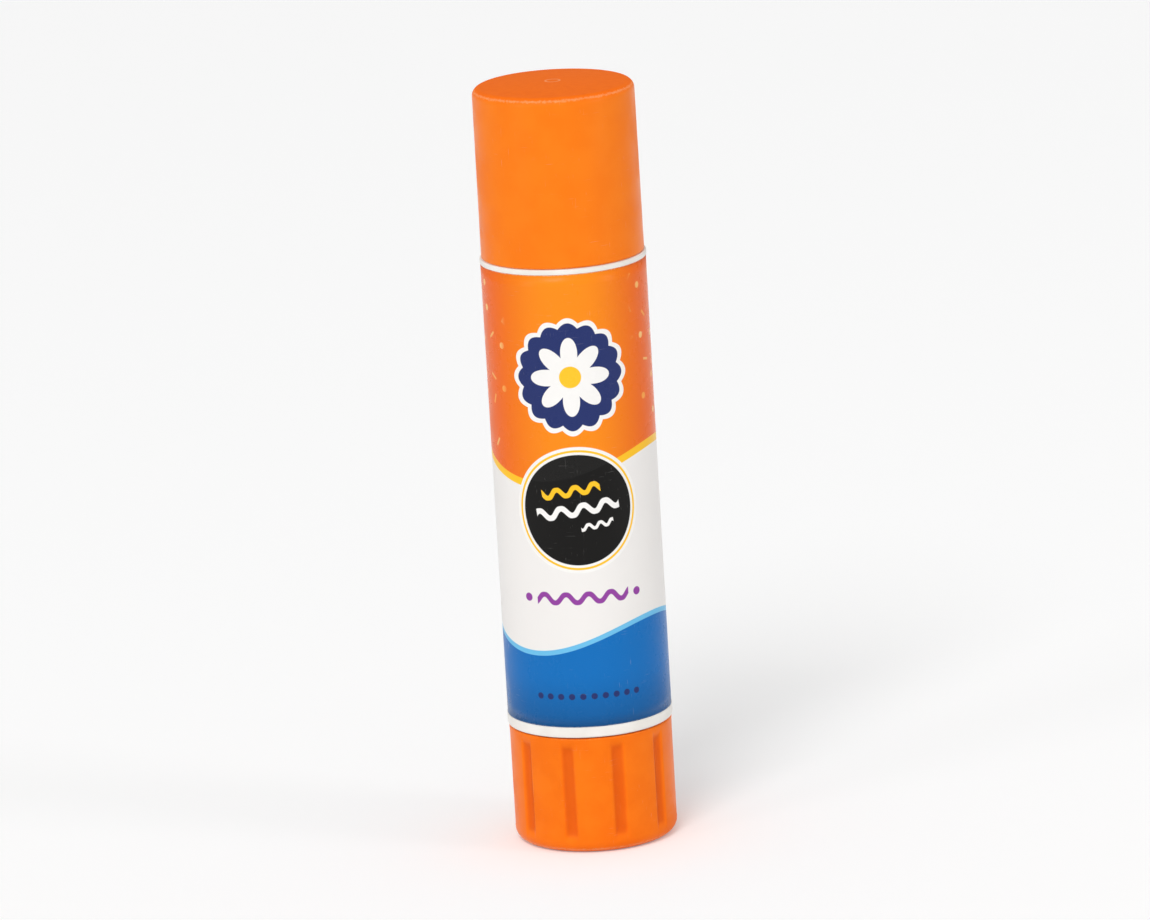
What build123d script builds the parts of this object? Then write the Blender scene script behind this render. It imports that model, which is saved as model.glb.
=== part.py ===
from build123d import *
import math
import os

# Push-up glue stick. Millimetres, +Z up, the origin on the axis at the bottom of the turning
# base. The front of the label faces -Y. The stick is drawn closed, with the glue wound down.

os.makedirs("parts", exist_ok=True)

# Heights of the closed stick, from the table up
knob_height = 18.6
turning_gap = 0.2
foot_ring_height = 1.7
label_height = 71.7
top_ring_height = 0.8
cap_height = 27.0

# Widest radius, the barrel's rings, and how far the cap and the turning base stand back from it
ring_radius = 12.9
cap_setback = 0.3
knob_setback = 0.2

# Turning base
knob_floor = 2.4
knob_edge_radius = 2.0
knob_top_radius = 0.3
groove_count = 10
groove_depth = 0.55
groove_cutter_radius = 1.4
groove_edge_radius = 0.7
groove_bottom_margin = 2.2
groove_top_margin = 0.9
groove_fade_height = 1.6
groove_fade_depth = 0.7
rest_ring_width = 2.3
rest_recess_depth = 0.6
hub_wall = 1.6
hub_gap = 0.3
web_count = 5
web_thickness = 1.0
web_gap = 0.5

# Barrel
barrel_floor = 2.0
skin_wall = 0.8
tube_wall = 1.2
spigot_depth = 5.0
spigot_gap = 0.3
shoulder_thickness = 4.5
neck_wall = 1.5
neck_rim_radius = 0.5
snap_bead_height = 0.15
snap_bead_radius = 0.9
snap_bead_drop = 6.0
ring_edge_radius = 0.25
label_recess = 0.2
recess_edge_radius = 0.1
guide_rib_count = 4
guide_rib_width = 1.0
guide_rib_height = 0.5
guide_rib_drop = 4.0

# Label
label_thickness = 0.1
overlap_width = 4.0

# Cap
cap_wall = 1.25
cap_bore_gap = 0.25
cap_draft = 0.1
cap_ceiling = 1.4
cap_headroom = 2.6
cap_crown = 0.5
cap_edge_radius = 1.3
cap_lip_radius = 0.3
cap_corner_radius = 0.6
seal_ring_width = 0.9
seal_ring_gap = 0.1
snap_groove_gap = 0.25

# Spindle
journal_radius = 3.0
journal_gap = 0.08
foot_step = 0.23
foot_length = 12.0
foot_sides = 6
foot_press = 0.02
foot_chamfer = 0.5
socket_gap = 0.4
flange_width = 1.9
flange_thickness = 1.2
flange_gap = 0.1
thread_pitch = 4.0
thread_core_radius = 2.5
thread_depth = 0.9
thread_root_width = 1.7
thread_crest_width = 0.9
thread_sink = 0.2
thread_gap = 0.16
thread_runout = 0.4
spindle_tip_drop = 5.2
spindle_tip_radius = 1.6
spindle_tip_height = 2.6

# Carrier
carrier_gap = 0.3
carrier_disc = 1.6
nut_length = 8.0
nut_wall = 1.45
cup_height = 6.0
cup_wall = 0.8
cup_inset = 0.3
wiper_gap = 0.08
wiper_height = 0.6
fin_count = 4
fin_thickness = 0.8
fin_height = 4.0
rib_notch_gap = 0.15

# Glue
glue_gap = 0.15
glue_drop = 2.4
glue_edge_radius = 0.8
glue_bore_gap = 0.3

# One overrun for every cut
overrun = 1.0

# Angles in degrees
full_turn = 360.0
front_angle = -90.0
back_angle = 90.0
groove_step = full_turn / groove_count
first_groove_angle = front_angle + groove_step / 2
guide_rib_angle = full_turn / guide_rib_count / 2

# Heights worked out from those above
foot_z = knob_height + turning_gap
label_low_z = foot_z + foot_ring_height
label_high_z = label_low_z + label_height
shoulder_z = label_high_z + top_ring_height
cap_top_z = shoulder_z + cap_height
ceiling_z = cap_top_z - cap_ceiling
rim_z = ceiling_z - cap_headroom
bead_z = rim_z - snap_bead_drop
spigot_z = foot_z - spigot_depth
floor_z = foot_z + barrel_floor
flange_z = floor_z + flange_gap
flange_top_z = flange_z + flange_thickness
spindle_top_z = rim_z - spindle_tip_drop
hub_top_z = foot_z - hub_gap
foot_bottom_z = hub_top_z - foot_length
carrier_z = flange_top_z + carrier_gap
cup_floor_z = carrier_z + carrier_disc
cup_top_z = cup_floor_z + cup_height
nut_top_z = carrier_z + nut_length
thread_low_z = flange_top_z + thread_root_width / 2
thread_high_z = spindle_top_z - thread_runout
glue_top_z = rim_z - glue_drop

# Radii worked out from those above, from the outside in
cap_radius = ring_radius - cap_setback
knob_radius = ring_radius - knob_setback
label_seat_radius = ring_radius - label_recess
label_radius = label_seat_radius + label_thickness
cap_bore_radius = cap_radius - cap_wall
neck_radius = cap_bore_radius - cap_bore_gap
bead_radius = neck_radius + snap_bead_height
bore_radius = neck_radius - neck_wall
tube_radius = bore_radius + tube_wall
slot_radius = label_seat_radius - skin_wall
knob_cup_radius = tube_radius + spigot_gap
knob_wall = knob_radius - knob_cup_radius
rest_recess_radius = knob_radius - knob_edge_radius - rest_ring_width
hub_radius = journal_radius + hub_wall
foot_radius = journal_radius - foot_step
flange_radius = journal_radius + flange_width
thread_crest_radius = thread_core_radius + thread_depth
nut_bore_radius = thread_core_radius + thread_gap
nut_radius = thread_crest_radius + thread_gap + nut_wall
cup_radius = bore_radius - cup_inset
cup_inside_radius = cup_radius - cup_wall
guide_rib_radius = bore_radius - guide_rib_height
glue_radius = bore_radius - glue_gap
glue_bore_radius = thread_crest_radius + glue_bore_gap


def thread_ridge(low, high, margin):
    """The left-hand ridge of the screw, or with a margin the cutter for the nut that it turns in."""
    root_radius = thread_core_radius - thread_sink
    root = thread_root_width / 2 + margin
    crest = thread_crest_width / 2 + margin
    depth = thread_crest_radius + margin - root_radius
    with BuildPart() as ridge:
        with BuildLine() as path:
            Helix(thread_pitch, high - low, root_radius, center=(0, 0, low), lefthand=True)
        start = Plane(path.line @ 0, x_dir=(1, 0, 0), z_dir=path.line % 0)
        with BuildSketch(start):
            with BuildLine():
                Polyline((0, -root), (depth, -crest), (depth, crest), (0, root), close=True)
            make_face()
        sweep(path=path.line, is_frenet=True)
    return ridge.part


def guide_ribs(low, high, gap):
    """The ribs inside the barrel, or with a gap the cutter for the notches that slide on them."""
    with BuildPart() as ribs:
        with BuildSketch(Plane.XY.offset(low)):
            with PolarLocations(guide_rib_radius - gap, guide_rib_count, guide_rib_angle):
                Rectangle(
                    guide_rib_height + gap + neck_wall / 2,
                    guide_rib_width + 2 * gap,
                    align=(Align.MIN, Align.CENTER),
                )
        extrude(amount=high - low)
    return ribs.part


def carrier_fins():
    """The fins that tie the nut to the wall of the cup and stop the glue from turning in it."""
    with BuildPart() as fins:
        with BuildSketch(Plane.XY.offset(cup_floor_z)):
            with PolarLocations(0, fin_count):
                Rectangle(
                    cup_inside_radius + cup_wall / 2,
                    fin_thickness,
                    align=(Align.MIN, Align.CENTER),
                )
        extrude(amount=fin_height)
    return fins.part


# Turning base: a lobed cup with a hub for the spindle, stiffened by webs
groove_low_z = groove_bottom_margin
groove_high_z = knob_height - groove_top_margin
waist_radius = knob_radius - groove_fade_depth

with BuildSketch() as lobes:
    Circle(knob_radius)
    with PolarLocations(
        knob_radius + groove_cutter_radius - groove_depth, groove_count, first_groove_angle
    ):
        Circle(groove_cutter_radius, mode=Mode.SUBTRACT)
    fillet(lobes.vertices(), radius=groove_edge_radius)

with BuildPart() as knob:
    with BuildSketch(Plane.XZ):
        with BuildLine():
            Polyline(
                (0, 0),
                (knob_radius, 0),
                (knob_radius, groove_low_z),
                (waist_radius, groove_low_z + groove_fade_height),
                (waist_radius, groove_high_z - groove_fade_height),
                (knob_radius, groove_high_z),
                (knob_radius, knob_height),
                (0, knob_height),
                close=True,
            )
        make_face()
    revolve(axis=Axis.Z)
    fillet(knob.edges().group_by(Axis.Z)[0], radius=knob_edge_radius)
    fillet(knob.edges().group_by(Axis.Z)[-1], radius=knob_top_radius)
    with BuildSketch(Plane.XY.offset(groove_low_z)):
        add(lobes.sketch)
    extrude(amount=groove_high_z - groove_low_z)
    with BuildSketch(Plane.XY.offset(knob_floor)):
        Circle(knob_cup_radius)
    extrude(amount=knob_height, mode=Mode.SUBTRACT)
    with BuildSketch(Plane.XY.offset(knob_floor)):
        Circle(hub_radius)
    extrude(amount=hub_top_z - knob_floor)
    with BuildSketch(Plane.XY.offset(knob_floor)):
        with PolarLocations(0, web_count, back_angle):
            Rectangle(
                knob_cup_radius + knob_wall / 2,
                web_thickness,
                align=(Align.MIN, Align.CENTER),
            )
    extrude(amount=spigot_z - web_gap - knob_floor)
    with BuildSketch(Plane.XY.offset(foot_bottom_z - socket_gap)):
        RegularPolygon(foot_radius, foot_sides)
    extrude(amount=knob_height, mode=Mode.SUBTRACT)
    with BuildSketch():
        Circle(rest_recess_radius)
    extrude(amount=rest_recess_depth, mode=Mode.SUBTRACT)

knob.part.label = "knob"
export_step(knob.part, "parts/knob.step")

# Barrel: an outer skin that carries the label and an inner tube for the glue, joined at the top
with BuildPart() as barrel:
    with BuildSketch(Plane.XY.offset(foot_z)):
        Circle(ring_radius)
    extrude(amount=shoulder_z - foot_z)
    with BuildSketch(Plane.XY.offset(label_low_z)):
        Circle(ring_radius + overrun)
        Circle(label_seat_radius, mode=Mode.SUBTRACT)
    extrude(amount=label_height, mode=Mode.SUBTRACT)
    rims = barrel.edges().filter_by(GeomType.CIRCLE).group_by(SortBy.RADIUS)[-1].group_by(Axis.Z)
    fillet(rims[0] + rims[-1], radius=ring_edge_radius)
    rims = barrel.edges().filter_by(GeomType.CIRCLE).group_by(SortBy.RADIUS)[-1].group_by(Axis.Z)
    fillet(rims[1] + rims[2], radius=recess_edge_radius)
    with BuildSketch(Plane.XY.offset(foot_z)):
        Circle(slot_radius)
        Circle(tube_radius, mode=Mode.SUBTRACT)
    extrude(amount=shoulder_z - shoulder_thickness - foot_z, mode=Mode.SUBTRACT)
    with BuildSketch(Plane.XY.offset(spigot_z)):
        Circle(tube_radius)
    extrude(amount=spigot_depth)
    with BuildSketch(Plane.XY.offset(shoulder_z)):
        Circle(neck_radius)
    extrude(amount=rim_z - shoulder_z)
    with BuildSketch(Plane.XZ):
        with Locations((bead_radius - snap_bead_radius, bead_z)):
            Circle(snap_bead_radius)
    revolve(axis=Axis.Z)
    with BuildSketch(Plane.XY.offset(floor_z)):
        Circle(bore_radius)
    extrude(amount=rim_z, mode=Mode.SUBTRACT)
    fillet(barrel.edges().group_by(Axis.Z)[-1], radius=neck_rim_radius)
    with BuildSketch(Plane.XY.offset(spigot_z)):
        Circle(bore_radius)
        Circle(journal_radius + journal_gap, mode=Mode.SUBTRACT)
    extrude(amount=spigot_depth, mode=Mode.SUBTRACT)
    with BuildSketch(Plane.XY.offset(spigot_z)):
        Circle(journal_radius + journal_gap)
    extrude(amount=rim_z, mode=Mode.SUBTRACT)
    add(guide_ribs(floor_z, rim_z - guide_rib_drop, 0))

barrel.part.label = "barrel"
export_step(barrel.part, "parts/barrel.step")

# Label: a film wound once round the barrel, its end lapped over its start at the back
with BuildPart() as label:
    with BuildSketch(Plane.XY.offset(label_low_z)):
        Circle(label_radius + label_thickness)
        Circle(label_radius, mode=Mode.SUBTRACT)
        with Locations((0, label_radius)):
            Rectangle(overlap_width, label_radius, mode=Mode.INTERSECT)
        Circle(label_radius)
        Circle(label_seat_radius, mode=Mode.SUBTRACT)
    extrude(amount=label_height)

label.part.label = "label"
export_step(label.part, "parts/label.step")

# Cap: a thin cup over the neck, its rim on the barrel's shoulder
cap_shoulder_z = cap_top_z - cap_crown
cap_top_radius = cap_radius - cap_draft
crown_radius = (cap_top_radius**2 + cap_crown**2) / (2 * cap_crown)

with BuildPart() as cap:
    with BuildSketch(Plane.XZ) as cap_profile:
        with BuildLine():
            Polyline((0, cap_top_z), (0, shoulder_z), (cap_radius, shoulder_z))
            Line((cap_radius, shoulder_z), (cap_top_radius, cap_shoulder_z))
            RadiusArc((cap_top_radius, cap_shoulder_z), (0, cap_top_z), -crown_radius)
        make_face()
        edge_corner = Vector(cap_top_radius, cap_shoulder_z)
        fillet(cap_profile.vertices().sort_by_distance(edge_corner)[0], radius=cap_edge_radius)
        with Locations((0, shoulder_z)):
            Rectangle(
                cap_bore_radius,
                ceiling_z - shoulder_z,
                align=(Align.MIN, Align.MIN),
                mode=Mode.SUBTRACT,
            )
        ceiling_corner = Vector(cap_bore_radius, ceiling_z)
        fillet(cap_profile.vertices().sort_by_distance(ceiling_corner)[0], radius=cap_corner_radius)
        fillet(cap_profile.vertices().group_by(Axis.Y)[0], radius=cap_lip_radius)
    revolve(axis=Axis.Z)
    with BuildSketch(Plane.XY.offset(rim_z + seal_ring_gap)):
        Circle(bore_radius + neck_wall / 2 + seal_ring_width / 2)
        Circle(bore_radius + neck_wall / 2 - seal_ring_width / 2, mode=Mode.SUBTRACT)
    extrude(amount=ceiling_z + cap_ceiling / 2 - rim_z - seal_ring_gap)
    with BuildSketch(Plane.XZ):
        with Locations((bead_radius - snap_bead_radius, bead_z)):
            Circle(snap_bead_radius + snap_groove_gap)
    revolve(axis=Axis.Z, mode=Mode.SUBTRACT)

cap.part.label = "cap"
export_step(cap.part, "parts/cap.step")

# Spindle: foot in the knob's hub, journal in the barrel's floor, thrust flange, then the screw
spindle_thread = thread_ridge(thread_low_z, thread_high_z, 0)

with BuildPart() as spindle:
    with BuildSketch(Plane.XY.offset(foot_bottom_z)):
        RegularPolygon(foot_radius + foot_press, foot_sides)
    extrude(amount=foot_length)
    chamfer(spindle.edges().group_by(Axis.Z)[0], length=foot_chamfer)
    with BuildSketch(Plane.XY.offset(hub_top_z)):
        Circle(journal_radius)
    extrude(amount=flange_top_z - hub_top_z)
    with BuildSketch(Plane.XY.offset(flange_z)):
        Circle(flange_radius)
    extrude(amount=flange_thickness)
    with BuildSketch(Plane.XY.offset(flange_top_z)):
        Circle(thread_core_radius)
    extrude(amount=spindle_top_z - flange_top_z)
    add(spindle_thread)
    with BuildSketch(Plane.XZ):
        with BuildLine():
            Polyline(
                (0, foot_bottom_z),
                (flange_radius + overrun, foot_bottom_z),
                (flange_radius + overrun, spindle_top_z - spindle_tip_height),
                (thread_crest_radius, spindle_top_z - spindle_tip_height),
                (spindle_tip_radius, spindle_top_z),
                (0, spindle_top_z),
                close=True,
            )
        make_face()
    revolve(axis=Axis.Z, mode=Mode.INTERSECT)

spindle.part.label = "spindle"
export_step(spindle.part, "parts/spindle.step")

# Carrier: a piston cup with the nut in its middle, notched to slide on the barrel's ribs
nut_thread = thread_ridge(thread_low_z - thread_pitch, nut_top_z + thread_pitch, thread_gap)
carrier_notches = guide_ribs(carrier_z, cup_top_z, rib_notch_gap)
fins = carrier_fins()

with BuildPart() as carrier:
    with BuildSketch(Plane.XY.offset(carrier_z)):
        Circle(cup_radius)
    extrude(amount=cup_height + carrier_disc)
    with BuildSketch(Plane.XY.offset(carrier_z)):
        Circle(bore_radius - wiper_gap)
    extrude(amount=wiper_height)
    with BuildSketch(Plane.XY.offset(cup_top_z - wiper_height)):
        Circle(bore_radius - wiper_gap)
    extrude(amount=wiper_height)
    with BuildSketch(Plane.XY.offset(cup_floor_z)):
        Circle(cup_inside_radius)
    extrude(amount=cup_height, mode=Mode.SUBTRACT)
    with BuildSketch(Plane.XY.offset(carrier_z)):
        Circle(nut_radius)
    extrude(amount=nut_length)
    add(fins)
    add(nut_thread, mode=Mode.SUBTRACT)
    with BuildSketch(Plane.XY.offset(carrier_z)):
        Circle(nut_bore_radius)
    extrude(amount=nut_length, mode=Mode.SUBTRACT)
    add(carrier_notches, mode=Mode.SUBTRACT)

carrier.part.label = "carrier"
export_step(carrier.part, "parts/carrier.step")

# Glue: cast in the carrier's cup, bored for the spindle and grooved by the barrel's ribs
glue_grooves = guide_ribs(cup_top_z, glue_top_z, rib_notch_gap)

with BuildPart() as glue:
    with BuildSketch(Plane.XY.offset(cup_top_z)):
        Circle(glue_radius)
    extrude(amount=glue_top_z - cup_top_z)
    fillet(glue.edges().group_by(Axis.Z)[-1], radius=glue_edge_radius)
    with BuildSketch(Plane.XY.offset(cup_floor_z)):
        Circle(cup_inside_radius)
    extrude(amount=cup_height)
    with BuildSketch(Plane.XY.offset(cup_floor_z)):
        Circle(nut_radius)
    extrude(amount=nut_top_z - cup_floor_z, mode=Mode.SUBTRACT)
    with BuildSketch(Plane.XY.offset(cup_floor_z)):
        Circle(glue_bore_radius)
    extrude(amount=spindle_top_z + glue_bore_gap - cup_floor_z, mode=Mode.SUBTRACT)
    add(fins, mode=Mode.SUBTRACT)
    add(glue_grooves, mode=Mode.SUBTRACT)

glue.part.label = "glue"
export_step(glue.part, "parts/glue.step")

lift = math.floor((spindle_top_z - nut_top_z) / thread_pitch) * thread_pitch
print("glue volume", round(glue.part.volume), "cubic mm")
print("carrier lift", lift, "mm in", lift / thread_pitch, "turns")
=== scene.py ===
# %% [markdown]
# # Dressing a twist-up glue stick
#
# The construction model of a glue stick is finished: its cap, barrel, label, turning base,
# screw, carrier and glue have their real sizes and already move. This lesson gives them their
# looks. Nothing here moves or resizes a piece. First the imported model is loaded, and its box is
# kept.

# %% Load the imported model
import math

import bmesh
import bpy
from mathutils import Matrix, Vector
from mathutils.noise import noise as lumps_at


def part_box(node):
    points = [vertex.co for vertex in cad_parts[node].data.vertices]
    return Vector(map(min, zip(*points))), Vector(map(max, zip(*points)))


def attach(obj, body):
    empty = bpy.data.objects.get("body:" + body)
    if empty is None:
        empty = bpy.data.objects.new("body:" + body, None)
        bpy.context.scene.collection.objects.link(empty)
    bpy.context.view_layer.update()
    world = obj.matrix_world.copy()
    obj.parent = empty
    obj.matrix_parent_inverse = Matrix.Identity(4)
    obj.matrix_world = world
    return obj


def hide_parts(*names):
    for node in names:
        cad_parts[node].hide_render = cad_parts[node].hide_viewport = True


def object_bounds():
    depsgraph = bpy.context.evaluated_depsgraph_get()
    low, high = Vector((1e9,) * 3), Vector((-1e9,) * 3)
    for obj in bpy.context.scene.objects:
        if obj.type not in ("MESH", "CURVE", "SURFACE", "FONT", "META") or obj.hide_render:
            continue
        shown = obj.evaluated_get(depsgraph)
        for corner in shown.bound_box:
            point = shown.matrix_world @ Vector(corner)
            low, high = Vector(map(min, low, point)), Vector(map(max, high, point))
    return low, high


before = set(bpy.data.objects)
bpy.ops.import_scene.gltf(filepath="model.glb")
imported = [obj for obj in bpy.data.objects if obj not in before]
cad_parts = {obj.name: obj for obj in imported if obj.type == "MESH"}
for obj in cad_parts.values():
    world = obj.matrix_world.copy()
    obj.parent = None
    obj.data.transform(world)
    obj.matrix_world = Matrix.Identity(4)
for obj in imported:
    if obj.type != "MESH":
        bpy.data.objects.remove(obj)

cad_low, cad_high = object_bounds()
millimetre = 0.001
per_metre = 1000.0
print("pieces:", ", ".join(sorted(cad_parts)))
print("stick, in mm:", [round(per_metre * side, 2) for side in cad_high - cad_low])

# %% [markdown]
# ## Measures taken from the model
#
# Where the model's own boxes give a place or a size, the patterns and new pieces below take it
# from there. A box gives the heights of a round piece and, at its side, the radius. Blender works
# in metres, but plastic and print are measured in millimetres, and so are the patterns on them.

# %% Heights and radii in millimetres
def corners_in_mm(node):
    """The low and the high corner of a piece's box, in millimetres."""
    return [corner * per_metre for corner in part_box(node)]


cap_low, cap_high = corners_in_mm("cap")
_, barrel_high = corners_in_mm("barrel")
label_low, label_high = corners_in_mm("label")
knob_low, knob_high = corners_in_mm("knob")
_, glue_high = corners_in_mm("glue")

for piece, low, high in (
    ("cap", cap_low, cap_high), ("label", label_low, label_high), ("base", knob_low, knob_high)
):
    print(f"{piece}: radius {high.x:.2f}, from {low.z:.1f} to {high.z:.1f} mm high")

# %% [markdown]
# ## Camera
#
# The stick is seen from the front and from a little above: the rings round it show as shallow
# ellipses, which open by about a quarter of their width, so the camera looks down by 13.5
# degrees. Their curve hardly changes from the top ring to the bottom one. Only a long lens far
# away does that. The picture also leans, its top to the left, and a roll of the camera gives
# the same lean while the stick itself stands straight on the floor.

# %% Place the camera
view_down = math.radians(13.5)
view_lean = math.radians(3.4)
view_distance = 1.3
picture_share = 0.86
picture_width, picture_height = 1150, 920
sensor_width = 36.0

stick_middle = (cad_low + cad_high) / 2
seen_height = (
    (cad_high.z - cad_low.z) * math.cos(view_down)
    + (cad_high.y - cad_low.y) * math.sin(view_down)
)
sensor_height = sensor_width * picture_height / picture_width

camera_data = bpy.data.cameras.new("camera")
camera_data.sensor_width = sensor_width
camera_data.lens = sensor_height * view_distance * picture_share / seen_height
camera = bpy.data.objects.new("camera", camera_data)
bpy.context.collection.objects.link(camera)
toward_camera = Vector((0, -math.cos(view_down), math.sin(view_down)))
camera.matrix_world = (
    Matrix.Translation(stick_middle + view_distance * toward_camera)
    @ toward_camera.to_track_quat("Z", "Y").to_matrix().to_4x4()
    @ Matrix.Rotation(-view_lean, 4, "Z")
)
bpy.context.scene.camera = camera
bpy.context.scene.view_settings.view_transform = "Standard"
print("lens, in mm:", round(camera_data.lens))

# %% [markdown]
# ## Node trees, written as sums
#
# A material is a tree of nodes, and so is a Geometry Nodes modifier. Written out with Blender's
# own calls, each node takes four or five lines, and the idea drowns in them. Here `add` makes a
# node and fills or links its inputs, and `read` gives one of its outputs as a `Value`. A sum
# written with Values makes the Math nodes for it, so a formula in the code looks like one.

# %% Values and sums
class Value:
    """A number, colour or place that a node puts out. Sums with it become Math nodes."""

    def __init__(self, tree, socket):
        self.tree = tree
        self.socket = socket

    def __add__(self, other):
        return calculate("ADD", self, other)

    def __sub__(self, other):
        return calculate("SUBTRACT", self, other)

    def __rsub__(self, other):
        return calculate("SUBTRACT", other, self)

    def __mul__(self, other):
        return calculate("MULTIPLY", self, other)

    def __truediv__(self, other):
        return calculate("DIVIDE", self, other)

    def __rtruediv__(self, other):
        return calculate("DIVIDE", other, self)

    def __abs__(self):
        return calculate("ABSOLUTE", self)

    def into(self, socket):
        """Links this to an input socket."""
        self.tree.links.new(self.socket, socket)


def find_socket(sockets, name):
    """A socket by its number, or by its name among those that the node's settings leave in use."""
    if isinstance(name, int):
        return sockets[name]
    return next(socket for socket in sockets if socket.name == name and socket.enabled)


def add(tree, kind, settings=None, inputs=None):
    """A new node with its properties set and its inputs filled or linked."""
    node = tree.nodes.new(kind)
    for name, value in (settings or {}).items():
        setattr(node, name, value)
    for name, value in (inputs or {}).items():
        socket = find_socket(node.inputs, name)
        if isinstance(value, Value):
            value.into(socket)
        else:
            socket.default_value = value
    return node


def read(node, name=0):
    """What a node puts out."""
    return Value(node.id_data, find_socket(node.outputs, name))


def tree_of(*values):
    """The tree that some values belong to, where others may be plain numbers."""
    return next(value.tree for value in values if isinstance(value, Value))


def calculate(operation, *values):
    """The result of a Math node."""
    inputs = dict(enumerate(values))
    return read(add(tree_of(*values), "ShaderNodeMath", {"operation": operation}, inputs))


# %% Short forms of the nodes used most
def linear(card):
    """A colour as written on a paint card, such as FF8527, in the linear light of shaders."""
    channels = [int(card[place:place + 2], 16) / 255 for place in (0, 2, 4)]
    return tuple(
        c / 12.92 if c <= 0.04045 else ((c + 0.055) / 1.055) ** 2.4 for c in channels
    ) + (1.0,)


def fade(value, start, end, low=0.0, high=1.0):
    """Runs smoothly from low to high as value goes from start to end, and stays there."""
    inputs = {
        "Value": value, "From Min": start, "From Max": end, "To Min": low, "To Max": high
    }
    settings = {"interpolation_type": "SMOOTHSTEP"}
    return read(add(tree_of(value), "ShaderNodeMapRange", settings, inputs), "Result")


def cover(below, above, share):
    """The colour below, covered by the colour above as far as share says."""
    inputs = {"Factor": share, "A": below, "B": above}
    node = add(tree_of(share), "ShaderNodeMix", {"data_type": "RGBA"}, inputs)
    return read(node, "Result")


def noise(place, scale, detail=3.0, roughness=0.5):
    """Smooth random values of about 0.5, with about scale lumps to each unit of place."""
    inputs = {"Vector": place, "Scale": scale, "Detail": detail, "Roughness": roughness}
    return read(add(tree_of(place), "ShaderNodeTexNoise", None, inputs))


def split(place):
    """The X, Y and Z of a place."""
    node = add(tree_of(place), "ShaderNodeSeparateXYZ", None, {0: place})
    return [read(node, axis) for axis in range(3)]


def join(x, y=0.0, z=0.0):
    """A place from X, Y and Z."""
    return read(add(tree_of(x, y, z), "ShaderNodeCombineXYZ", None, {0: x, 1: y, 2: z}))


def length(x, y):
    """How far the point x, y lies from zero."""
    return calculate("SQRT", x * x + y * y)


def stretch(place, scale, turn=(0.0, 0.0, 0.0)):
    """A place that is turned and then scaled along each axis."""
    inputs = {"Vector": place, "Rotation": turn, "Scale": scale}
    return read(add(tree_of(place), "ShaderNodeMapping", None, inputs))


# %% [markdown]
# ## Groups: trees inside trees
#
# Fine grain, smudges and scratches are on every moulded piece and on the label, and most of them
# have worn edges. Copies of these nodes in each material would be many trees to mend instead of
# one, so each effect becomes a node group: a small tree with named inputs and outputs, placed
# wherever it is needed. A group here puts out only values and colours. The shader stays in the
# material.

# %% Helpers for groups
socket_kinds = {
    float: "NodeSocketFloat",
    int: "NodeSocketInt",
    tuple: "NodeSocketColor",
    Vector: "NodeSocketVector",
    bpy.types.Material: "NodeSocketMaterial",
}


def start_group(name, inputs, outputs, kind="ShaderNodeTree"):
    """A new group, the Values of its inputs, and its output sockets by name."""
    group = bpy.data.node_groups.new(name, kind)
    if kind == "GeometryNodeTree":
        group.interface.new_socket("Geometry", in_out="INPUT", socket_type="NodeSocketGeometry")
    for label, default in inputs.items():
        socket = group.interface.new_socket(
            label, in_out="INPUT", socket_type=socket_kinds[type(default)]
        )
        socket.default_value = default
    for label, socket_kind in outputs.items():
        group.interface.new_socket(
            label, in_out="OUTPUT", socket_type="NodeSocket" + socket_kind
        )
    enter = group.nodes.new("NodeGroupInput")
    leave = group.nodes.new("NodeGroupOutput")
    given = {socket.name: Value(group, socket) for socket in enter.outputs}
    return group, given, leave.inputs


def use_group(tree, group, inputs=None):
    """Places a node group in a tree. The result holds its outputs by name."""
    node = add(tree, "ShaderNodeGroup", {"node_tree": group}, inputs)
    return {socket.name: Value(tree, socket) for socket in node.outputs}


def surface_in_mm(tree):
    """The place of a point of the surface in the piece's own space, in millimetres."""
    place = read(add(tree, "ShaderNodeTexCoord"), "Object")
    inputs = {0: place, "Scale": per_metre}
    return read(add(tree, "ShaderNodeVectorMath", {"operation": "SCALE"}, inputs))


# %% Moulded skin
def make_moulded_skin():
    """What a mould leaves on plastic: faint orange peel, upright draw lines and smudges."""
    group, given, made = start_group(
        "moulded skin",
        {"Peel Size": 0.9, "Draw Lines": 0.3, "Smudge Size": 9.0},
        {"Height": "Float", "Dullness": "Float", "Mottle": "Float"},
    )
    place = surface_in_mm(group)
    peel = noise(place, 1.0 / given["Peel Size"])
    lines = noise(stretch(place, (3.0, 3.0, 0.05)), 1.0, detail=4.0)
    smudge = noise(place, 1.0 / given["Smudge Size"], detail=6.0, roughness=0.65)
    (peel + lines * given["Draw Lines"]).into(made["Height"])
    fade(smudge, 0.4, 0.68).into(made["Dullness"])
    fade(noise(place, 0.22), 0.3, 0.7).into(made["Mottle"])
    return group


# %% Worn rim
def make_worn_rim():
    """A broken line of wear along a round edge: a circle at one height round the axis."""
    group, given, made = start_group(
        "worn rim",
        {"Radius": 12.0, "Height": 0.0, "Width": 0.6, "Breakup": 2.5},
        {"Wear": "Float"},
    )
    place = surface_in_mm(group)
    x, y, z = split(place)
    distance = length(length(x, y) - given["Radius"], z - given["Height"])
    near = 1.0 - distance / given["Width"]
    grain = noise(place, given["Breakup"], detail=8.0, roughness=0.75)
    fade(near + grain * 2.0, 1.55, 2.1).into(made["Wear"])
    return group


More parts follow.
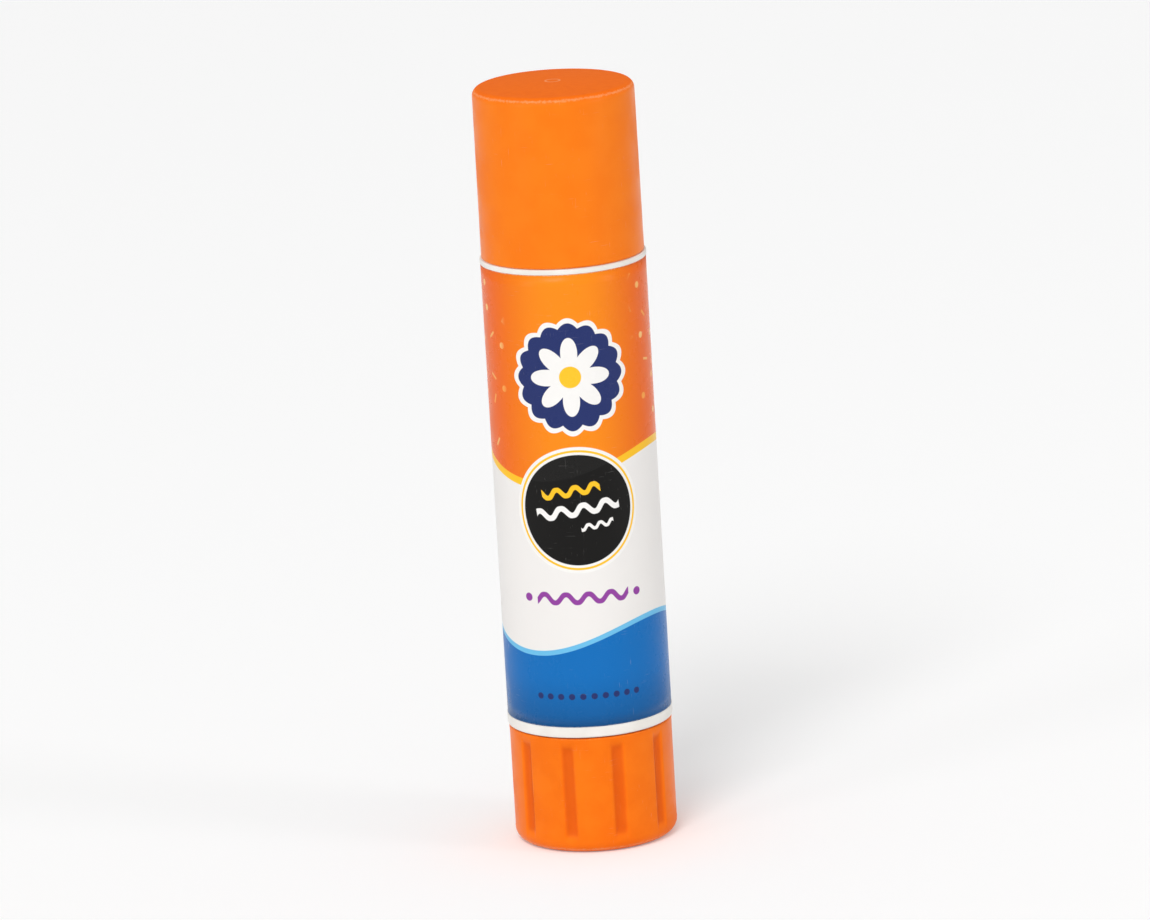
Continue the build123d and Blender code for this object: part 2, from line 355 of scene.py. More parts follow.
# %% Fine scratches
def make_fine_scratches():
    """Hair scratches: the crests of two noises, each stretched along its own direction."""
    group, given, made = start_group("fine scratches", {"Amount": 0.5}, {"Scratch": "Float"})
    place = surface_in_mm(group)
    level_stroke = {"scale": (0.35, 0.35, 9.0), "turn": (0.35, 0.17, 0.0)}
    upright_stroke = {"scale": (9.0, 0.5, 0.5), "turn": (-0.6, -0.3, 0.0)}
    strokes = [
        fade(noise(stretch(place, **stroke), 0.9, detail=2.0), 0.70, 0.76)
        for stroke in (level_stroke, upright_stroke)
    ]
    where = fade(noise(place, 0.12), 0.42, 0.62)
    (calculate("MAXIMUM", *strokes) * where * given["Amount"]).into(made["Scratch"])
    return group


moulded_skin = make_moulded_skin()
worn_rim = make_worn_rim()
fine_scratches = make_fine_scratches()
print("groups:", ", ".join(group.name for group in (moulded_skin, worn_rim, fine_scratches)))

# %% [markdown]
# ## Coloured plastic
#
# Cap, base, barrel and screw are moulded polypropylene. It is never one flat colour: pigment
# lies a little unevenly, fingers leave dull patches, and the draw out of the mould leaves faint
# upright lines. Edges that rub go pale. One function holds what all the mouldings share, and
# each piece then adds what only it has.

# %% Helpers for materials
def start_material(name, constants):
    """A new material, its tree and its shader, with the constant sockets set."""
    material = bpy.data.materials.new(name)
    material.use_nodes = True
    tree = material.node_tree
    shader = tree.nodes["Principled BSDF"]
    for label, value in constants.items():
        shader.inputs[label].default_value = value
    return material, tree, shader


def raise_surface(shader, height, depth):
    """Bumps the surface by a height of 0 to 1, which stands for a depth in millimetres."""
    inputs = {"Height": height, "Distance": depth * millimetre}
    read(add(height.tree, "ShaderNodeBump", None, inputs)).into(shader.inputs["Normal"])


def mould_plastic(name, card, mottled_card, roughness, peel_depth, draw_lines=0.3):
    """What every moulding shares: the material, its shader, and colour and roughness so far."""
    material, tree, shader = start_material(name, {"IOR": 1.49, "Specular IOR Level": 0.12})
    skin = use_group(tree, moulded_skin, {"Draw Lines": draw_lines})
    scratch = use_group(tree, fine_scratches, {"Amount": 0.35})["Scratch"]
    colour = cover(linear(card), linear(mottled_card), skin["Mottle"])
    colour = cover(colour, linear("FFFFFF"), scratch * 0.3)
    polished, dull = roughness
    shine = fade(skin["Dullness"] + scratch, 0.0, 1.0, polished, dull)
    raise_surface(shader, skin["Height"] - scratch, peel_depth)
    return material, shader, colour, shine


def wear_rims(colour, pale_card, rims):
    """Pale broken wear over a colour, along each rim: its radius, height and width in mm."""
    for radius, height, width in rims:
        inputs = {"Radius": radius, "Height": height, "Width": width}
        wear = use_group(colour.tree, worn_rim, inputs)["Wear"]
        colour = cover(colour, linear(pale_card), wear * 0.4)
    return colour


def dress(node, material):
    """Gives a piece of the construction model its finish."""
    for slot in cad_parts[node].material_slots:
        slot.material = material


# %% [markdown]
# ## Cap
#
# The cap is plain orange with a rounded top edge. Its top is matt, and painted shade makes it a
# little deeper in colour than its side. Plastic enters the mould at one small gate in the middle
# of the top. That leaves a pale ring there, and the pigment flows outward from it in faint rays.
# The top edge and the lip rub against other things first.

# %% Cap finish
pale_orange = "FFC08A"
gate_radius = 1.1
gate_ring_width = 0.28
top_blend_start = 1.6
top_blend_end = 0.6
top_roughness = 0.75


def make_cap_plastic():
    """Orange plastic: a matt top in painted shade, with a gate mark and flow rays, and wear at both
    edges.
    """
    material, shader, colour, shine = mould_plastic(
        "cap_plastic", "FB8014", "F97B0F", (0.3, 0.46), 0.01
    )
    x, y, z = split(surface_in_mm(colour.tree))
    from_axis = length(x, y)
    on_top = fade(z, cap_high.z - top_blend_start, cap_high.z - top_blend_end)

    around = calculate("ARCTAN2", y, x)
    rays = fade(noise(join(around * 9.0, from_axis), 0.8), 0.35, 0.75, 0.0, 0.22)
    # Painted shade: a deeper orange covers the top, so that it looks darker than the side.
    colour = cover(colour, linear("FC6E06"), on_top * 0.7)
    colour = cover(colour, linear("EE6002"), rays * on_top)
    ring = fade(abs(from_axis - gate_radius), gate_ring_width, 0.0, 0.0, 0.5)
    colour = cover(colour, linear(pale_orange), ring * on_top)
    colour = wear_rims(colour, pale_orange, (
        (cap_high.x - 0.4, cap_high.z - 0.9, 0.7),
        (cap_high.x, cap_low.z + 0.1, 0.35),
    ))
    colour.into(shader.inputs["Base Color"])
    fade(on_top, 0.0, 1.0, shine, top_roughness).into(shader.inputs["Roughness"])
    return material


cap_plastic = make_cap_plastic()
dress("cap", cap_plastic)
print("cap finish:", len(cap_plastic.node_tree.nodes), "nodes")

# %% [markdown]
# ## Barrel, screw and carrier
#
# The barrel shows only as a thin white ring above the label and a thicker one below it, and as
# the neck when the cap is off. The screw and the carrier are unpigmented, so they are a little
# greyer and milkier than the barrel, and a film of the glue that they push has stained them.

# %% White finishes
def make_barrel_plastic():
    """White plastic, a little grey where the two rings rub."""
    material, shader, colour, shine = mould_plastic(
        "barrel_plastic", "F4F1EC", "ECE8E1", (0.3, 0.45), 0.01
    )
    colour = wear_rims(colour, "C9C3BA", (
        (barrel_high.x, label_low.z, 0.3),
        (barrel_high.x, cap_low.z, 0.3),
    ))
    colour.into(shader.inputs["Base Color"])
    shine.into(shader.inputs["Roughness"])
    return material


def make_natural_plastic(name, stain):
    """Unpigmented plastic, milky, with a purple film of glue as far as stain says."""
    material, shader, colour, shine = mould_plastic(
        name, "E6E4DD", "DAD8CF", (0.38, 0.55), 0.015
    )
    shader.inputs["Subsurface Weight"].default_value = 0.15
    shader.inputs["Subsurface Radius"].default_value = (1.0, 0.9, 0.8)
    shader.inputs["Subsurface Scale"].default_value = 0.8 * millimetre
    smear = fade(noise(surface_in_mm(colour.tree), 0.5, detail=6.0), 0.45, 0.65, 0.0, stain)
    cover(colour, linear("8A63B8"), smear).into(shader.inputs["Base Color"])
    shine.into(shader.inputs["Roughness"])
    return material


dress("barrel", make_barrel_plastic())
dress("spindle", make_natural_plastic("spindle_plastic", 0.15))
dress("carrier", make_natural_plastic("carrier_plastic", 0.35))
print("white finishes are on the barrel, the screw and the carrier")

# %% [markdown]
# ## Label: a film that is wrapped on
#
# The label is a thin printed film. It goes once round the barrel, and its end is glued over its
# start in a narrow lap at the back. The construction model only has a smooth sleeve there. A
# film is a flat sheet that follows a rule, so a Geometry Nodes tree can wrap it: a grid is the
# flat sheet, each of its points goes to an angle and a height, and the end rises by one
# thickness where it lies on the start. The tree also writes on each point where it was on the
# flat sheet, in millimetres from the middle of the front, and the print is drawn with that.

# %% Helpers for Geometry Nodes
def run_tree(name, source, tree, values):
    """Puts a mesh through a Geometry Nodes tree, and returns the result as a plain object."""
    holder = bpy.data.objects.new(name + "_tree", source)
    bpy.context.collection.objects.link(holder)
    modifier = holder.modifiers.new("tree", "NODES")
    modifier.node_group = tree
    identifiers = {
        item.name: item.identifier for item in tree.interface.items_tree
        if item.item_type == "SOCKET" and item.in_out == "INPUT"
    }
    for label, value in values.items():
        modifier[identifiers[label]] = value
    return as_plain(name, holder)


def as_plain(name, holder):
    """The evaluated mesh of an object, as a new object without modifiers. The old one goes."""
    bpy.context.view_layer.update()
    evaluated = holder.evaluated_get(bpy.context.evaluated_depsgraph_get())
    mesh = bpy.data.meshes.new_from_object(evaluated)
    mesh.name = name
    bpy.data.objects.remove(holder)
    piece = bpy.data.objects.new(name, mesh)
    bpy.context.collection.objects.link(piece)
    return piece


def count_triangles(piece):
    """How many triangles a mesh has once its faces are split."""
    return sum(len(face.vertices) - 2 for face in piece.data.polygons)


def join_geometry(tree, *parts):
    """Several geometries as one."""
    node = tree.nodes.new("GeometryNodeJoinGeometry")
    for part in parts:
        part.into(node.inputs[0])
    return read(node)


def finish_tree(geometry, material, made, tolerance):
    """Closes the seams, and makes the result real, with its material on it."""
    tree = geometry.tree
    for kind, inputs in (
        ("GeometryNodeMergeByDistance", {"Distance": tolerance}),
        ("GeometryNodeRealizeInstances", {}),
        ("GeometryNodeSetMaterial", {"Material": material}),
    ):
        geometry = read(add(tree, kind, None, {"Geometry": geometry, **inputs}))
    geometry.into(made["Geometry"])


# %% Sizes of the film
film_thickness = 0.095
film_gap = 0.002
film_lap = 4.0
lap_ramp = 1.5
film_seat_depth = 0.1
film_columns = 361
film_rows = 37
merge_distance = 0.0002

film_seat_radius = label_high.x - film_seat_depth
film_length = 2 * math.pi * (film_seat_radius + film_thickness / 2) + film_lap
film_height = label_high.z - label_low.z


def in_metres(sizes):
    """Named sizes in millimetres, as metres."""
    return {name: size * millimetre for name, size in sizes.items()}


film_inputs = {"Columns": film_columns, "Rows": film_rows, **in_metres({
    "Length": film_length, "Height": film_height, "Low": label_low.z,
    "Seat Radius": film_seat_radius, "Thickness": film_thickness, "Gap": film_gap,
    "Lap": film_lap, "Ramp": lap_ramp,
})}
print(f"the flat film is {film_length:.1f} by {film_height:.1f} mm")


# %% The tree that wraps the film
def make_film_wrap(material):
    """A Geometry Nodes tree that bends a flat film round the axis, with its end over its start."""
    tree, given, made = start_group(
        "film wrap", film_inputs | {"Finish": material}, {"Geometry": "Geometry"},
        kind="GeometryNodeTree",
    )
    grid = add(tree, "GeometryNodeMeshGrid", None, {
        "Size X": 1.0, "Size Y": 1.0, "Vertices X": given["Columns"], "Vertices Y": given["Rows"]
    })
    across, up, _ = split(read(add(tree, "GeometryNodeInputPosition")))
    along = across * given["Length"]
    rise = (up + 0.5) * given["Height"]

    lap_start = given["Length"] / 2.0 - given["Lap"] - given["Ramp"]
    lift = fade(along, lap_start, lap_start + given["Ramp"], 0.0, given["Thickness"] + given["Gap"])
    radius = given["Seat Radius"] + given["Gap"] + lift
    angle = along / (given["Seat Radius"] + given["Thickness"] / 2.0) - math.pi / 2
    wrapped = join(
        radius * calculate("COSINE", angle),
        radius * calculate("SINE", angle),
        given["Low"] + rise,
    )
    flat_place = join(along * per_metre, rise * per_metre)
    marked = read(add(
        tree, "GeometryNodeStoreNamedAttribute",
        {"data_type": "FLOAT_VECTOR", "domain": "POINT"},
        {"Geometry": read(grid, "Mesh"), "Name": "film_place", "Value": flat_place},
    ))
    inner = read(add(tree, "GeometryNodeSetPosition", None, {
        "Geometry": marked, "Position": wrapped
    }))
    smooth = read(add(tree, "GeometryNodeSetShadeSmooth", None, {"Geometry": inner}))
    thick = add(tree, "GeometryNodeExtrudeMesh", {"mode": "FACES"}, {
        "Mesh": smooth, "Offset Scale": given["Thickness"], "Individual": False
    })
    printed = read(add(
        tree, "GeometryNodeStoreNamedAttribute", {"data_type": "FLOAT", "domain": "FACE"},
        {"Geometry": read(thick, "Mesh"), "Name": "film_face", "Value": read(thick, "Top")},
    ))
    flat_rims = read(add(tree, "GeometryNodeSetShadeSmooth", None, {
        "Geometry": printed, "Selection": read(thick, "Side"), "Shade Smooth": False
    }))
    back = read(add(tree, "GeometryNodeFlipFaces", None, {"Mesh": smooth}))
    closed = join_geometry(tree, flat_rims, back)
    finish_tree(closed, given["Finish"], made, merge_distance * millimetre)
    return tree


# %% [markdown]
# ## Label: outlines as distances
#
# The print is drawn inside the shader. Every shape on it, such as a disc, a card or a wave, is a
# formula for the distance from a point to the shape's outline, below zero inside it. `inside`
# then turns the distance into a mask with a crisp edge, at any zoom. Distances can also be
# grown, cut and joined, so a few short functions are enough for a whole label.

# %% Outline formulas
def inside(distance, softness=0.05):
    """1 where the distance to an outline, in mm, is below zero, and 0 outside it."""
    return fade(distance, softness, -softness)


def disc(x, y, radius):
    """Distance to a circle round zero."""
    return length(x, y) - radius


def card(x, y, width, height, rounding):
    """Distance to a rectangle round zero with rounded corners."""
    beside = abs(x) - (width / 2 - rounding)
    above = abs(y) - (height / 2 - rounding)
    outer = length(calculate("MAXIMUM", beside, 0.0), calculate("MAXIMUM", above, 0.0))
    inner = calculate("MINIMUM", calculate("MAXIMUM", beside, above), 0.0)
    return outer + inner - rounding


def scalloped(x, y, radius, lobes, depth):
    """Distance to a disc with round lobes along its rim."""
    lobe = abs(calculate("COSINE", calculate("ARCTAN2", y, x) * (lobes / 2)))
    return length(x, y) - lobe * depth - (radius - depth)


def above_wave(x, y, height, rise, period, shift):
    """Height above a long wave that lies at a height."""
    return y - calculate("SINE", (x - shift) * (2 * math.pi / period)) * rise - height


def scribble(x, y, half_length, rise, period, width):
    """Distance to a line drawn with a pen as a row of small waves."""
    turns = 2 * math.pi / period
    slope = calculate("COSINE", x * turns) * (rise * turns)
    off_line = abs(y - calculate("SINE", x * turns) * rise)
    off_line = off_line / calculate("SQRT", slope * slope + 1.0)
    return calculate("MAXIMUM", off_line - width / 2, abs(x) - half_length)


def drop(x, y, radius):
    """Distance to a drop with its tip up."""
    tip = calculate("MAXIMUM", (abs(x) + y) / math.sqrt(2) - radius, radius / math.sqrt(2) - y)
    return calculate("MINIMUM", disc(x, y, radius), tip)


def row_of_dots(x, y, pitch, radius):
    """Distance to the nearest dot of an endless row."""
    beside = (calculate("FRACT", x / pitch) - 0.5) * pitch
    return disc(beside, y, radius)


# %% [markdown]
# ## Label: confetti and small print
#
# Two patterns fill areas instead of drawing one shape. Confetti puts one small disc, square or
# strip in most cells of a Voronoi pattern, whose colour output is random for each cell and
# picks the kind, the turn and the tint. The small print on the back stands for a text that no
# one reads: grey bars in rows, broken by a noise as words are by spaces.

# %% Confetti
def make_confetti():
    """Scattered discs, squares and strips, one to a cell, and a random tint for each."""
    group, given, made = start_group(
        "confetti", {"Place": Vector((0, 0, 0)), "Spacing": 4.2, "Size": 0.6},
        {"Shape": "Float", "Tint": "Float"},
    )
    cells = add(group, "ShaderNodeTexVoronoi", {"voronoi_dimensions": "2D"}, {
        "Vector": given["Place"], "Scale": 1.0 / given["Spacing"], "Randomness": 0.7
    })
    kind, turn, tint = split(read(cells, "Color"))
    from_middle = read(add(group, "ShaderNodeVectorMath", {"operation": "SUBTRACT"}, {
        0: given["Place"], 1: read(cells, "Position")
    }))
    turned = read(add(group, "ShaderNodeVectorRotate", {"rotation_type": "Z_AXIS"}, {
        "Vector": from_middle, "Angle": turn * (2 * math.pi)
    }))
    x, y, _ = split(turned)
    size = given["Size"]
    square = calculate("MAXIMUM", abs(x), abs(y)) - size * 0.8
    strip = calculate("MAXIMUM", abs(x) - size * 1.3, abs(y) - size * 0.3)
    shapes = (
        (disc(x, y, size * 0.85), 0.05, 0.35), (square, 0.35, 0.6), (strip, 0.6, 0.9)
    )
    for place, (distance, low, high) in enumerate(shapes):
        chosen = calculate("GREATER_THAN", kind, low) * calculate("LESS_THAN", kind, high)
        mask = inside(distance) * chosen
        total = mask if place == 0 else total + mask
    total.into(made["Shape"])
    tint.into(made["Tint"])
    return group


# %% Small print
def make_small_print():
    """Rows of short bars, as print that is too small to read."""
    group, given, made = start_group(
        "small print", {"Place": Vector((0, 0, 0)), "Pitch": 1.5, "Thickness": 0.5},
        {"Ink": "Float"},
    )
    x, y, _ = split(given["Place"])
    rows = y / given["Pitch"]
    number = calculate("FLOOR", rows)
    off_line = abs(rows - number - 0.5) * given["Pitch"] - given["Thickness"] / 2.0
    words = fade(noise(join(x * 0.8, number * 7.7), 1.0, detail=1.0), 0.41, 0.43)
    (inside(off_line) * words).into(made["Ink"])
    return group


confetti = make_confetti()
small_print = make_small_print()

# %% [markdown]
# ## Label: the print
#
# The print has an orange field at the top, a white band and a blue field at the bottom, with
# wavy edges. Upon them lie a navy disc with a flower, a dark round badge with pen lines, and a
# purple pen line. The back has two cards and the small print. All inks go into one group, which
# takes the place on the flat film and gives the colour and how much ink lies there.

# %% Inks and places of the print
inks = {
    name: linear(code) for name, code in {
        "film": "F0EDEA", "white": "F6F4F1", "orange": "FA8C0C", "side orange and shade": "F0680E",
        "yellow": "FFC629", "blue": "006DBA", "deep blue": "005A9C", "sky": "6FC1EA",
        "navy": "223069", "black": "151413", "purple": "93439F", "grey": "5A5A5A",
    }.items()
}
emblem_height = 55.6
badge_height = 34.6
pen_line_height = 20.6
dots_height = 4.9
orange_edge_height = 41.5
blue_edge_height = 13.6
wave_rise = 2.3
wave_period = film_length / 2
back_card_side = 29.0
pen_tilt = math.radians(7)
yellow_band = 1.2
pale_band = 0.8
confetti_start = 10.5
confetti_full = 12.5
confetti_margin = 1.6
drop_pitch = 6.6


def paint(colour, *layers):
    """Lays inks over a colour, each where its distance is below zero."""
    for ink, distance in layers:
        colour = cover(colour, inks[ink], inside(distance))
    return colour


# %% The fields
def paint_fields(x, y):
    """White film, orange above a wave with a yellow band, blue below one with a pale band."""
    # Print and painted shade: the orange deepens toward the sides, partly as a printed gradient and
    # partly as painted shade round the cylinder.
    side_shade_and_print = fade(abs(x), 2.0, 15.0)
    orange = cover(inks["orange"], inks["side orange and shade"], side_shade_and_print)
    blue = cover(inks["deep blue"], inks["blue"], fade(y, 0.0, 9.0))
    orange_edge = above_wave(x, y, orange_edge_height, wave_rise, wave_period, shift=5.0) * -1.0
    blue_edge = above_wave(x, y, blue_edge_height, wave_rise, wave_period, shift=2.0)
    colour = cover(inks["film"], inks["yellow"], inside(orange_edge - yellow_band))
    colour = cover(colour, orange, inside(orange_edge))
    colour = cover(colour, inks["sky"], inside(blue_edge - pale_band))
    colour = cover(colour, blue, inside(blue_edge))
    return colour, calculate("MAXIMUM", inside(orange_edge), inside(blue_edge)), orange_edge


# %% The front
def paint_emblem(colour, x, y):
    """A navy disc with a scalloped rim, and a white flower with eight petals on it."""
    y = y - emblem_height
    return paint(
        colour,
        ("white", scalloped(x, y, radius=9.3, lobes=16, depth=0.8)),
        ("navy", scalloped(x, y, radius=8.5, lobes=16, depth=0.8)),
        ("white", scalloped(x, y, radius=6.2, lobes=8, depth=2.9)),
        ("yellow", disc(x, y, radius=1.7)),
    )


def paint_badge(colour, x, y):
    """A dark round badge with a yellow ring and three pen lines, which rise to the right."""
    y = y - badge_height
    colour = paint(
        colour,
        ("white", disc(x, y, radius=10.0)),
        ("yellow", disc(x, y, radius=9.5)),
        ("white", disc(x, y, radius=9.15)),
        ("black", disc(x, y, radius=8.75)),
    )
    cos, sin = math.cos(pen_tilt), math.sin(pen_tilt)
    x, y = x * cos + y * sin, y * cos - x * sin
    return paint(
        colour,
        ("yellow", scribble(x + 0.6, y - 3.1, half_length=4.6, rise=0.55, period=2.9, width=0.75)),
        ("white", scribble(x, y, half_length=6.6, rise=0.65, period=3.5, width=0.85)),
        ("white", scribble(x - 2.6, y + 2.9, half_length=2.6, rise=0.35, period=1.9, width=0.5)),
    )


def paint_lower_front(colour, x, y):
    """A purple pen line between two dots, and a row of navy dots on the blue field."""
    above_line = y - pen_line_height
    dots = row_of_dots(x, y - dots_height, pitch=1.75, radius=0.5)
    return paint(
        colour,
        ("purple", scribble(x, above_line, half_length=7.4, rise=0.65, period=3.5, width=0.8)),
        ("purple", disc(abs(x) - 9.0, above_line, radius=0.65)),
        ("navy", calculate("MAXIMUM", dots, abs(x) - 8.9)),
    )


# %% The back
def paint_back(tree, colour, place, x, y):
    """A card with bars on one side, a card with three drops on the other, and small print."""
    beside = abs(x) - back_card_side
    fine = use_group(tree, small_print, {"Place": place})["Ink"]
    heading = use_group(tree, small_print, {"Place": place, "Pitch": 2.6, "Thickness": 1.0})["Ink"]
    above = y - emblem_height
    paper = inside(card(beside, above, width=17.0, height=22.0, rounding=1.4))
    text = card(beside, above, width=14.0, height=18.2, rounding=0.1)
    right = calculate("GREATER_THAN", x, 0.0)
    colour = cover(colour, inks["white"], paper)
    colour = cover(colour, inks["navy"], inside(text) * right * fine)

    left_beside = x + back_card_side + 4.0
    for lift, ink in ((drop_pitch, "orange"), (0.0, "blue"), (-drop_pitch, "purple")):
        above = y - (emblem_height + lift)
        colour = paint(
            colour,
            (ink, disc(left_beside, above, radius=2.6)),
            ("white", drop(left_beside, above + 0.3, radius=1.0)),
        )
        line = card(x + back_card_side - 3.4, above, width=8.4, height=2.6, rounding=0.1)
        colour = cover(colour, inks["grey"], inside(line) * fine)

    band = card(beside, y - (badge_height - 6.0), width=17.0, height=10.4, rounding=0.1)
    colour = cover(colour, inks["grey"], inside(band) * fine)
    low_band = card(beside, y - 5.2, width=15.0, height=5.0, rounding=0.1)
    return cover(colour, inks["white"], inside(low_band) * heading)


# %% All inks in one group
def make_label_print():
    """The whole print: takes a place on the flat film, and gives colour and ink."""
    group, given, made = start_group(
        "label print", {"Place": Vector((0, 0, 0))}, {"Colour": "Color", "Ink": "Float"}
    )
    place = given["Place"]
    x, y, _ = split(place)
    colour, ink, orange_edge = paint_fields(x, y)
    pieces = use_group(group, confetti, {"Place": place})
    tint = cover(linear("FFB34D"), linear("FFD98C"), pieces["Tint"])
    away = fade(abs(x), confetti_start, confetti_full) * inside(orange_edge + confetti_margin)
    colour = cover(colour, tint, pieces["Shape"] * away * 0.8)
    colour = paint_emblem(colour, x, y)
    colour = paint_badge(colour, x, y)
    colour = paint_lower_front(colour, x, y)
    colour = paint_back(group, colour, place, x, y)
    grain = fade(noise(place, 9.0, detail=2.0), 0.25, 0.75, 0.0, 0.012)
    cover(colour, inks["film"], grain * ink).into(made["Colour"])
    ink.into(made["Ink"])
    return group


label_print = make_label_print()
print("print of the label:", len(label_print.nodes), "nodes")


# %% Film finish
def make_label_film():
    """Satin printed film, slightly wavy, rubbed along its upper and lower edges."""
    material, tree, shader = start_material("label_film", {
        "IOR": 1.5, "Specular IOR Level": 0.12, "Coat Weight": 0.03, "Coat Roughness": 0.1
    })
    place = read(add(tree, "ShaderNodeAttribute", {"attribute_name": "film_place"}), "Vector")
    face = read(add(tree, "ShaderNodeAttribute", {"attribute_name": "film_face"}), "Fac")
    printed = use_group(tree, label_print, {"Place": place})
    skin = use_group(tree, moulded_skin, {"Peel Size": 6.0, "Draw Lines": 0.0})
    scratch = use_group(tree, fine_scratches, {"Amount": 0.6})["Scratch"]

    colour = cover(inks["film"], printed["Colour"], face)
    colour = cover(colour, inks["film"], scratch * 0.25)
    colour = wear_rims(colour, "F0EDEA", (
        (label_high.x, label_low.z, 0.35),
        (label_high.x, label_high.z, 0.35),
    ))
    colour.into(shader.inputs["Base Color"])
    dullness = skin["Dullness"] + scratch - printed["Ink"] * 0.3
    fade(dullness, -0.3, 1.0, 0.27, 0.38).into(shader.inputs["Roughness"])
    raise_surface(shader, skin["Height"] - scratch * 0.2, 0.05)
    return material


label_film = make_label_film()
film_wrap = make_film_wrap(label_film)


# %% Wrap the film
def make_label():
    """The film of the label, wrapped round the barrel."""
    empty = bpy.data.meshes.new("film_source")
    return run_tree("wrapped_label", empty, film_wrap, film_inputs | {"Finish": label_film})


wrapped_label = make_label()
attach(wrapped_label, "barrel")
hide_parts("label")
print("label:", count_triangles(wrapped_label), "triangles")

# %% [markdown]
# ## Turning base: a lathe with lobes
#
# Broad soft lobes run round the base between ten shallow grooves, for the fingers. The shape
# follows one rule. An outline is turned round the axis, and at ten places the wall is pushed in
# by the depth of a round groove, which runs out at both ends. A Geometry Nodes tree can hold
# that rule: a grid has one column for each step round and one row for each point of the
# outline, and its points are set from the two. The hub and webs inside come from the
# construction model, cut free of the old wall and joined to the new one.

# %% Sizes of the base
base_radius = knob_high.x
base_height = knob_high.z
base_edge_radius = 2.0
base_lip_radius = 0.3
base_inside_radius = 11.1
base_floor = 2.4
recess_radius = 8.4
recess_depth = 0.6
corner_radius = 0.15
outline_step = 0.5
corner_steps = 6
base_columns = 481

groove_count = 10
groove_depth = 0.55
groove_radius = 1.4
groove_softness = 0.3
groove_low = 2.2
groove_high = 17.7
groove_run_out = 1.3

base_inputs = {"Columns": base_columns, "Groove Count": groove_count, **in_metres({
    "Outer Radius": base_radius, "Groove Depth": groove_depth, "Groove Radius": groove_radius,
    "Edge Softness": groove_softness, "Groove Low": groove_low, "Groove High": groove_high,
    "Run Out": groove_run_out,
})}
print(f"grooves: {groove_count}, each {groove_depth} mm deep")


# %% Outline of the base
def rounded_outline(corners):
    """Points along straight runs and round corners. A corner is radius, height and rounding."""
    spots = []
    for index, (across, up, rounding) in enumerate(corners):
        corner = Vector((across, up))
        if rounding == 0:
            spots.append(corner)
            continue
        before = (Vector(corners[index - 1][:2]) - corner).normalized()
        after = (Vector(corners[index + 1][:2]) - corner).normalized()
        half_angle = before.angle(after) / 2
        centre = corner + (before + after).normalized() * rounding / math.sin(half_angle)
        start = corner + before * rounding / math.tan(half_angle) - centre
        turn = start.angle_signed(corner + after * rounding / math.tan(half_angle) - centre)
        for step in range(corner_steps + 1):
            spots.append(centre + Matrix.Rotation(-turn * step / corner_steps, 2) @ start)
    outline = [spots[0]]
    for spot in spots[1:]:
        first = outline[-1].copy()
        parts = max(1, round((spot - first).length / outline_step))
        outline.extend(first + (spot - first) * part / parts for part in range(1, parts + 1))
    return outline


base_outline = rounded_outline((
    (0, recess_depth, 0),
    (recess_radius, recess_depth, corner_radius),
    (recess_radius, 0, corner_radius),
    (base_radius, 0, base_edge_radius),
    (base_radius, base_height, base_lip_radius),
    (base_inside_radius, base_height, base_lip_radius),
    (base_inside_radius, base_floor, corner_radius),
    (0, base_floor, 0),
))
print("outline of the base:", len(base_outline), "points")


# %% The tree that turns and presses
def make_lobed_lathe(material):
    """Turns an outline round the axis and presses evenly spaced upright grooves into it."""
    tree, given, made = start_group(
        "lobed lathe", base_inputs | {"Finish": material}, {"Geometry": "Geometry"},
        kind="GeometryNodeTree",
    )
    outline = given["Geometry"]
    rows = read(add(tree, "GeometryNodeAttributeDomainSize", None, {"Geometry": outline}))
    grid = add(tree, "GeometryNodeMeshGrid", None, {
        "Size X": 1.0, "Size Y": 1.0, "Vertices X": given["Columns"], "Vertices Y": rows
    })
    position = read(add(tree, "GeometryNodeInputPosition"))
    across, up, _ = split(position)
    row = calculate("ROUND", (up + 0.5) * (rows - 1.0))
    spot = read(add(tree, "GeometryNodeSampleIndex", {"data_type": "FLOAT_VECTOR"}, {
        "Geometry": outline, "Value": position, "Index": row
    }))
    radius, _, height = split(spot)

    pitch = given["Outer Radius"] * (2 * math.pi) / given["Groove Count"]
    beside = (calculate("FRACT", across * given["Groove Count"]) - 0.5) * pitch
    under = given["Groove Radius"] * given["Groove Radius"] - beside * beside
    arc = calculate("SQRT", calculate("MAXIMUM", under, 0.0))
    depth = given["Groove Depth"] - given["Groove Radius"] + arc
    depth = calculate("SMOOTH_MAX", depth, 0.0, given["Edge Softness"])

    steepness = given["Groove Depth"] / given["Run Out"]
    for inward in (height - given["Groove Low"], given["Groove High"] - height):
        end = calculate("SMOOTH_MAX", inward * steepness, 0.0, given["Edge Softness"])
        depth = calculate("SMOOTH_MIN", depth, end, given["Edge Softness"])
    depth = calculate("MAXIMUM", depth, 0.0)
    on_wall = calculate("GREATER_THAN", radius, given["Outer Radius"] - given["Groove Depth"])
    radius = radius - depth * on_wall

    angle = across * (2 * math.pi) - math.pi / 2
    place = join(
        radius * calculate("COSINE", angle), radius * calculate("SINE", angle), height
    )
    turned = read(add(tree, "GeometryNodeSetPosition", None, {
        "Geometry": read(grid, "Mesh"), "Position": place
    }))
    smooth = read(add(tree, "GeometryNodeSetShadeSmooth", None, {"Geometry": turned}))
    finish_tree(smooth, given["Finish"], made, merge_distance * millimetre)
    return tree


# %% Base finish
groove_shade_start = 0.02
groove_shade_full = 0.45


